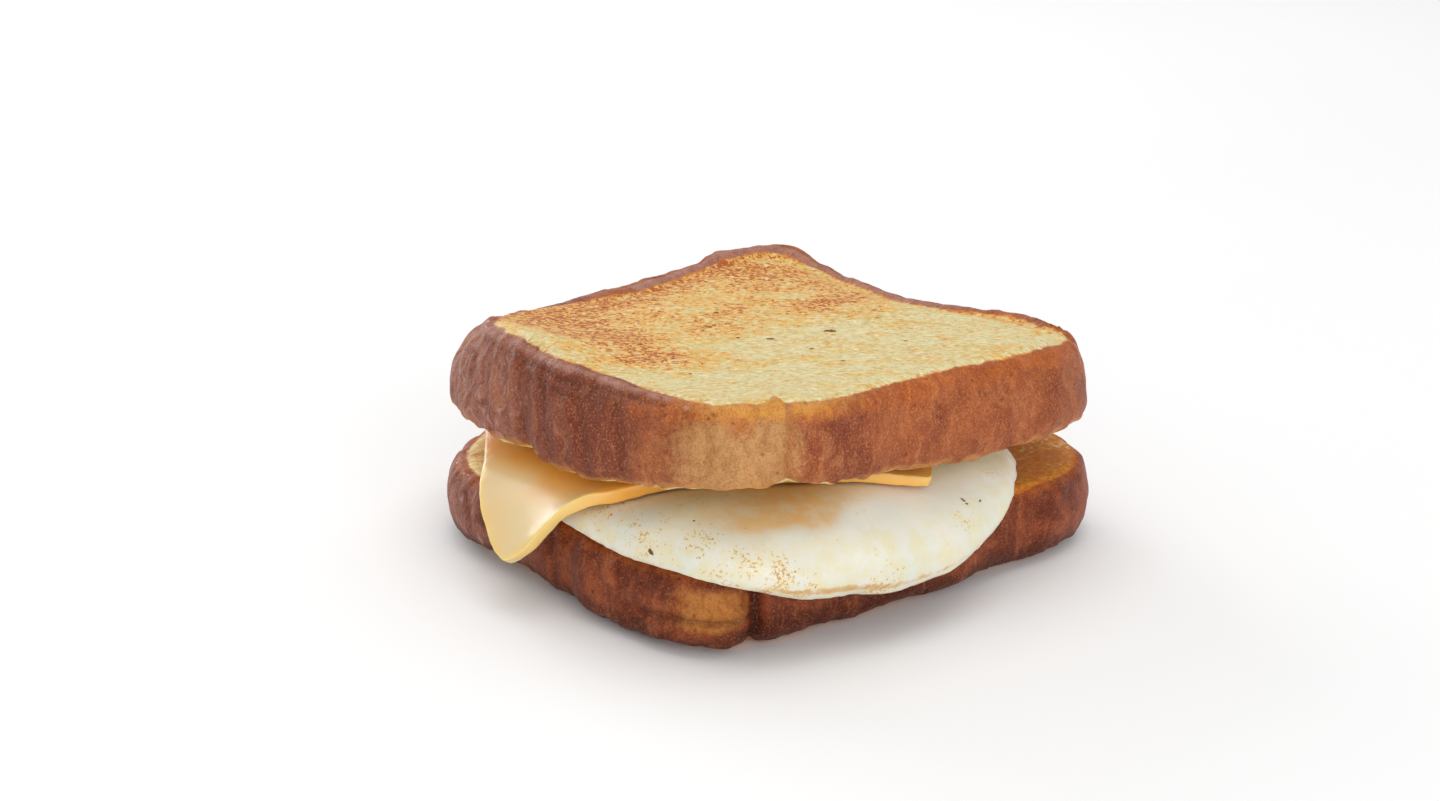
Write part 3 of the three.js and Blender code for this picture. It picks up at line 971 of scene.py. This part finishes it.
# the cheese: a soft sheet with cut edges that have begun to melt
cheeseShape = {
    "sharp": 55,  # degrees: edges sharper than this are the cut ones
    "edgeRadius": 0.45 * mm,
    "levels": 2,
    "evened": 12,  # rounds of smoothing of the two faces
    "corner": (921, 487),  # where the melted corner shows, pixels of the picture
    "melted": 0.5,  # how far it has sunk, mm
    "swells": [(9, 0.12, 51), (3.5, 0.05, 52)],
}
cheeseLook = {
    "face": paint(230, 207, 156),
    "deep": paint(232, 200, 140),
    "shade": paint(250, 172, 62),
    "edge": paint(238, 204, 120),
}


def underLid(points, inner, outer):
    # 1 where the upper slice covers a point (mm), falling to 0 past its edge in plan
    offset = points[:, :2] - np.array(upperSlice["centre"][:2]) / mm
    rim = rimAt(upperSpots["rimTable"], bearingOf(offset))
    return smoothStep(outer, inner, np.linalg.norm(offset, axis=1) - rim)


def makeCheese():
    piece = mergedCopy("cheese_slice", "cheeseSheet")
    groupSharp(piece, "cutEdge", cheeseShape["sharp"])
    # the two faces are evened out, the cut edges left as they are, then rounded
    setMode("EDIT")
    bpy.ops.mesh.select_mode(type="VERT")
    bpy.ops.mesh.select_all(action="INVERT")
    bpy.ops.mesh.vertices_smooth(factor=0.5, repeat=20)
    bpy.ops.mesh.select_mode(type="EDGE")
    bpy.ops.mesh.select_all(action="DESELECT")
    bpy.ops.mesh.edges_select_sharp(sharpness=math.radians(cheeseShape["sharp"]))
    bpy.ops.mesh.bevel(offset=cheeseShape["edgeRadius"], segments=2, affect="EDGES")
    setMode("OBJECT")
    subdivide(piece, cheeseShape["levels"])
    corner, _ = seenAt(surfaceOf(piece), *cheeseShape["corner"])
    evened = {"iterations": cheeseShape["evened"], "vertex_group": "cutEdge"}
    applyModifier(piece, "SMOOTH", factor=0.5, invert_vertex_group=True, **evened)
    weights = readWeights(piece, "cutEdge")
    points = readVertices(piece, "co") / mm
    if corner:
        # the corner that shows at the right has melted thin: its upper side sinks
        gap = np.linalg.norm(points - np.array(corner) / mm, axis=1)
        thin = smoothStep(16, 3, gap) * smoothStep(0.2, 0.7, readVertices(piece, "normal")[:, 2])
        points[:, 2] -= cheeseShape["melted"] * thin
        moveVertices(piece, points * mm)
    relief = swells(points, cheeseShape["swells"])
    pushOut(piece, relief + smoothStep(0.2, 1, weights) * 0.16 * softNoise(points, 1.5, 53))
    paintMask(piece, "cutFace", weights)
    covered = underLid(points + 2 * softNoise(points, 8, 54)[:, None], -6, 2)
    bearing = bearingOf(points)
    paintMask(piece, "shade", covered * (0.75 + 0.25 * smoothStep(-52, -66, bearing)))
    smoothShade(piece)
    return piece


def makeCheeseMaterial():
    material, tree, shader, place = newMaterial("meltedCheese")
    slow = noiseField(tree, place, 14, 2)
    fine = noiseField(tree, place, 1.5, 2)
    hue = mixColour(tree, ramp(tree, slow, 0.35, 0.65), cheeseLook["face"], cheeseLook["deep"])
    layers = [
        (ramp(tree, fine, 0.4, 0.7, 0, 0.12), cheeseLook["edge"]),
        (ramp(tree, maskOf(tree, "cutFace"), 0.6, 1, 0, 0.8), cheeseLook["edge"]),
        (times(tree, maskOf(tree, "shade"), 0.9), cheeseLook["shade"]),
    ]
    hue = layOver(tree, hue, layers)
    given = {
        "Base Color": hue,
        "Roughness": ramp(tree, slow, 0.3, 0.7, 0.3, 0.4),
        "Normal": bumpOf(tree, fine, 0.1, 0.3),
        **softness(0.5, 3, 1.5, 0.6),
        "Coat Weight": 0.3,
        "Coat Roughness": 0.2,
    }
    fillInputs(tree, shader, given)
    return material


cheeseSheet = makeCheese()
cheeseSheet.data.materials.append(makeCheeseMaterial())
print("cheese made,", len(cheeseSheet.data.vertices), "vertices")


# the fried egg: set white with a thin, browned and ragged rim
eggShape = {
    "centre": (11.6, -10),  # mm
    "levels": 3,
    "sharp": 70,  # degrees: the rim's own edges
    "swells": [(12, 0.22, 61), (4, 0.06, 62)],
    "pits": [(4.5, 1.1, 63, 0.4, 0.1)],
    "rimSwells": [(1.6, 0.06, 64), (5, 0.1, 65)],
    "fray": [(5, 0.3, 66), (1.2, 0.22, 67)],
}
eggLook = {
    "white": paint(228, 225, 210),
    "cool": paint(220, 224, 214),
    "yellow": paint(228, 216, 168),
    "gold": paint(208, 160, 84),
    "brown": paint(170, 102, 44),
    "shade": paint(230, 178, 92),
    "underLidLight": paint(250, 251, 249),
}
goldSpots = [  # across, down (pixels), reach (mm), amount
    (782, 574, 4, 1),
    (745, 562, 4.5, 0.75),
    (725, 580, 4, 0.7),
    (700, 545, 6, 0.65),
    (610, 510, 7, 0.65),
    (640, 530, 7, 0.65),
    (880, 588, 5, 0.85),
    (905, 592, 3.4, 0.8),
    (835, 598, 4.5, 0.6),
    (947, 543, 0.9, 0.6),
    (965, 522, 3, 0.6),
    (986, 470, 2.4, 0.6),
    (860, 515, 1.2, 0.7),
    (875, 550, 1, 0.8),
    (760, 592, 3.6, 0.9),
    (804, 592, 3.6, 0.85),
    (690, 500, 6, 0.5),
]


def makeEgg():
    piece = mergedCopy("fried_egg", "friedEgg")
    groupSharp(piece, "thinRim", eggShape["sharp"])
    subdivide(piece, eggShape["levels"])
    points = readVertices(piece, "co") / mm
    fromCentre = points[:, :2] - np.array(eggShape["centre"])
    reach = np.linalg.norm(fromCentre, axis=1)
    bearing = bearingOf(fromCentre)
    # the rim's reach for each degree, and how far in from it a point lies
    place = np.floor(bearing).astype(int) % 360
    rim = np.array([reach[place == k].max() for k in range(360)])
    inset = rim[place] - reach
    upward = smoothStep(0.1, 0.4, readVertices(piece, "normal")[:, 2])
    relief = upward * (swells(points, eggShape["swells"]) - pits(points, eggShape["pits"]))
    nearRim = readWeights(piece, "thinRim")
    edge = smoothStep(0.2, 1, nearRim)
    pushOut(piece, relief + edge * swells(points, eggShape["rimSwells"]))

    # the rim wanders and frays in plan
    points = readVertices(piece, "co")
    fray = edge * swells(points / mm, eggShape["fray"])
    outward = np.zeros_like(points)
    outward[:, :2] = fromCentre / reach[:, None].clip(1e-6)
    moveVertices(piece, points + outward * fray[:, None] * mm)

    # browned underneath the rim and at its right, yellow inside it
    facing = readVertices(piece, "normal")[:, 2]
    fringe = smoothStep(-0.1, 0.5, softNoise(points / mm, 2.4, 68))
    fringe = fringe * smoothStep(0.8, 0.95, nearRim) * smoothStep(0.3, -0.2, facing)
    fringe *= 1 - 0.85 * bump(bearing, -52, 22)
    right = 0.9 * smoothStep(0.6, 0.85, nearRim) * bump(bearing, -8, 22)
    below = smoothStep(-0.1, -0.5, facing) * smoothStep(0.5, 0.1, nearRim)
    covered = underLid(points / mm + 1.5 * softNoise(points / mm, 7, 69)[:, None], -6.5, -3.5)
    # painted light: the white made paler under the lid's right side, where the lid shades it
    underLidLight = 0.9 * underLid(points / mm, -7, 1) * smoothStep(-30, -14, bearing)
    masks = {
        "rimBrown": np.maximum(np.maximum(fringe, right), 0.8 * below),
        "rimYellow": smoothStep(7, 0.5, inset),
        "shade": covered * (0.1 + 0.8 * bump(bearing, -38, 24)),
        "underLidLight": underLidLight,
        "goldSpots": spotsOver(points, surfaceOf(piece), goldSpots),
    }
    paintMasks(piece, masks)
    smoothShade(piece)
    return piece


def makeEggMaterial():
    material, tree, shader, place = newMaterial("eggWhiteSet")
    slow = noiseField(tree, place, 12, 3)
    mid = noiseField(tree, place, 3, 3, 0.6)
    fine = noiseField(tree, place, 0.62, 3, 0.65)
    hue = mixColour(tree, ramp(tree, slow, 0.4, 0.65), eggLook["white"], eggLook["cool"])
    near = times(tree, maskOf(tree, "rimYellow"), ramp(tree, mid, 0.35, 0.6))
    spots = maskOf(tree, "goldSpots")
    field = plus(tree, times(tree, spots, 0.25), fine)
    field = plus(tree, field, ramp(tree, mid, 0.35, 0.65, -0.04, 0.04))
    rim = plus(tree, maskOf(tree, "rimBrown"), ramp(tree, mid, 0.3, 0.7, -0.2, 0.2))
    shaded = ramp(tree, mid, 0.3, 0.6, 0.45, 0.85)
    layers = [
        (ramp(tree, mid, 0.52, 0.75, 0, 0.4), eggLook["yellow"]),
        (maskOf(tree, "underLidLight"), eggLook["underLidLight"]),
        (times(tree, near, 0.45), eggLook["yellow"]),
        (times(tree, maskOf(tree, "shade"), shaded), eggLook["shade"]),
        (times(tree, spots, ramp(tree, mid, 0.4, 0.65, 0, 0.5)), eggLook["yellow"]),
        (ramp(tree, field, 0.7, 0.8, 0, 0.85), eggLook["gold"]),
        (ramp(tree, field, 0.8, 0.9, 0, 0.8), eggLook["brown"]),
        (ramp(tree, rim, 0.4, 0.95, 0, 0.8), eggLook["gold"]),
        (ramp(tree, rim, 0.9, 1.15, 0, 0.8), eggLook["brown"]),
    ]
    hue = layOver(tree, hue, layers)
    height = plus(tree, mid, times(tree, fine, 0.6))
    given = {
        "Base Color": hue,
        "Roughness": ramp(tree, mid, 0.3, 0.7, 0.32, 0.46),
        "Normal": bumpOf(tree, height, 0.2, 0.5),
        **softness(0.5, 2, 1.8, 1.5),
    }
    fillInputs(tree, shader, given)
    return material


friedEgg = makeEgg()
friedEgg.data.materials.append(makeEggMaterial())
print("egg made,", len(friedEgg.data.vertices), "vertices")


# pepper on the egg, scorched crumbs on the bread
pepperSpots = [  # across, down (pixels of the picture), length and width (mm), turn (degrees)
    (651, 552, 1.5, 0.6, -35),
    (963, 500, 1, 0.45, -60),
    (967, 504, 0.7, 0.35, 20),
    (980, 501, 0.7, 0.35, 50),
    (560, 497, 0.5, 0.4, 0),
    (886, 604, 1.1, 0.25, -20),
    (694, 521, 0.5, 0.3, 40),
]
scorchSpots = [
    (829, 331, 2.2, 1.2, -20),
    (770, 339, 1.4, 0.7, -10),
    (716, 313, 1, 0.6, 30),
    (709, 327, 1.1, 0.6, 10),
    (738, 338, 0.7, 0.5, 0),
    (877, 318, 0.8, 0.4, 20),
    (812, 349, 0.9, 0.4, -30),
    (905, 341, 0.7, 0.4, 0),
    (690, 374, 0.7, 0.4, 15),
    (843, 361, 0.8, 0.5, 0),
    (640, 345, 0.8, 0.5, 0),
]


fleckShape = {"rough": 0.4, "thickness": 0.35, "lift": 0.05 * mm}  # shares of the width, and metres


def makeFlecks(name, carrier, spots, material, seed):
    surface = surfaceOf(carrier)
    dice = np.random.default_rng(seed)
    flecks = []
    right, up, _ = viewAxes()
    for across, down, length, width, turn in spots:
        place, normal = seenAt(surface, across, down)
        if not place:
            continue
        bpy.ops.mesh.primitive_ico_sphere_add(subdivisions=2, radius=0.5)
        fleck = bpy.context.object
        points = readVertices(fleck, "co")
        points *= 1 + fleckShape["rough"] * dice.uniform(-1, 1, (len(points), 1))
        points *= np.array([length, width, fleckShape["thickness"] * width]) * mm
        angle = math.radians(turn)
        lengthwise = right * math.cos(angle) + up * math.sin(angle)
        sideways = normal.cross(lengthwise).normalized()
        axes = np.array([sideways.cross(normal), sideways, normal])
        moveVertices(fleck, points @ axes + np.array(place + normal * fleckShape["lift"]))
        flecks.append(fleck)
    pickOnly(flecks[0])
    for fleck in flecks:
        fleck.select_set(True)
    bpy.ops.object.join()
    piece = bpy.context.object
    piece.name = name
    piece.data.materials.append(material)
    bpy.ops.object.shade_smooth()
    return piece


def makeFleckMaterial(name, light, dark):
    material, tree, shader, place = newMaterial(name)
    grain = noiseField(tree, place, 0.4, 3, 0.6)
    given = {
        "Base Color": mixColour(tree, ramp(tree, grain, 0.35, 0.65), dark, light),
        "Roughness": ramp(tree, grain, 0.3, 0.7, 0.45, 0.7),
        "Normal": bumpOf(tree, grain, 0.5, 0.15),
    }
    fillInputs(tree, shader, given)
    return material


peppery = makeFleckMaterial("pepperHusk", paint(150, 92, 46), paint(86, 50, 30))
scorched = makeFleckMaterial("scorchedCrumb", paint(160, 104, 40), paint(104, 54, 20))
pepperFlecks = makeFlecks("pepperFlecks", friedEgg, pepperSpots, peppery, 71)
scorchFlecks = makeFlecks("scorchedCrumbs", upperBread, scorchSpots, scorched, 72)
for piece in (pepperFlecks, scorchFlecks):
    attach(piece, "root")
print("flecks strewn")


# each piece takes its node's place
for piece, node in (
    (upperBread, "bread_top"),
    (cheeseSheet, "cheese_slice"),
    (friedEgg, "fried_egg"),
    (lowerBread, "bread_bottom"),
):
    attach(piece, "root")
    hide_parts(node)


# floor, light and camera
studio = {
    "floorSize": 8,
    "floorHeight": -0.3 * mm,
    "world": 0.6,
    "overhead": {"at": (-0.05, 0.12, 0.9), "size": 0.9, "power": 2.9},
    "window": {"at": (-0.8, 0.05, 0.3), "size": 0.5, "power": 2.2},
    "fill": {"at": (0.74, -0.36, 0.24), "size": 0.7, "power": 3.3},
}


def makeStudio():
    bpy.ops.mesh.primitive_plane_add(size=studio["floorSize"], location=(0, 0, studio["floorHeight"]))
    floor = bpy.context.object
    floor.name = "floor"
    material, tree, shader, place = newMaterial("paleFloor")
    cloud = noiseField(tree, place, 300, 2)
    share = ramp(tree, cloud, 0.3, 0.7)
    hue = mixColour(tree, share, paint(250, 250, 250), paint(253, 253, 253))
    fillInputs(tree, shader, {"Base Color": hue, "Roughness": 0.8})
    floor.data.materials.append(material)
    world = bpy.data.worlds.new("paleRoom")
    world.use_nodes = True
    backdrop = world.node_tree.nodes["Background"]
    given = {"Color": (1, 1, 1, 1), "Strength": studio["world"]}
    fillInputs(world.node_tree, backdrop, given)
    bpy.context.scene.world = world
    for name in ("overhead", "window", "fill"):
        lamp = studio[name]
        bpy.ops.object.light_add(type="AREA", location=lamp["at"])
        light = bpy.context.object
        light.name = name
        light.data.size = lamp["size"]
        light.data.energy = lamp["power"]
        away = Vector(lamp["at"]) - Vector(view["aim"])
        light.rotation_euler = away.to_track_quat("Z", "Y").to_euler()


def makeCamera():
    back = viewAxes()[2]
    bpy.ops.object.camera_add(location=Vector(view["aim"]) + back * view["distance"])
    camera = bpy.context.object
    camera.rotation_euler = back.to_track_quat("Z", "Y").to_euler()
    camera.data.lens = view["lens"]
    camera.data.sensor_width = picture["film"]
    camera.data.clip_start = 0.01
    bpy.context.scene.camera = camera


makeStudio()
makeCamera()
bpy.context.scene.view_settings.view_transform = "Standard"
print("studio ready")
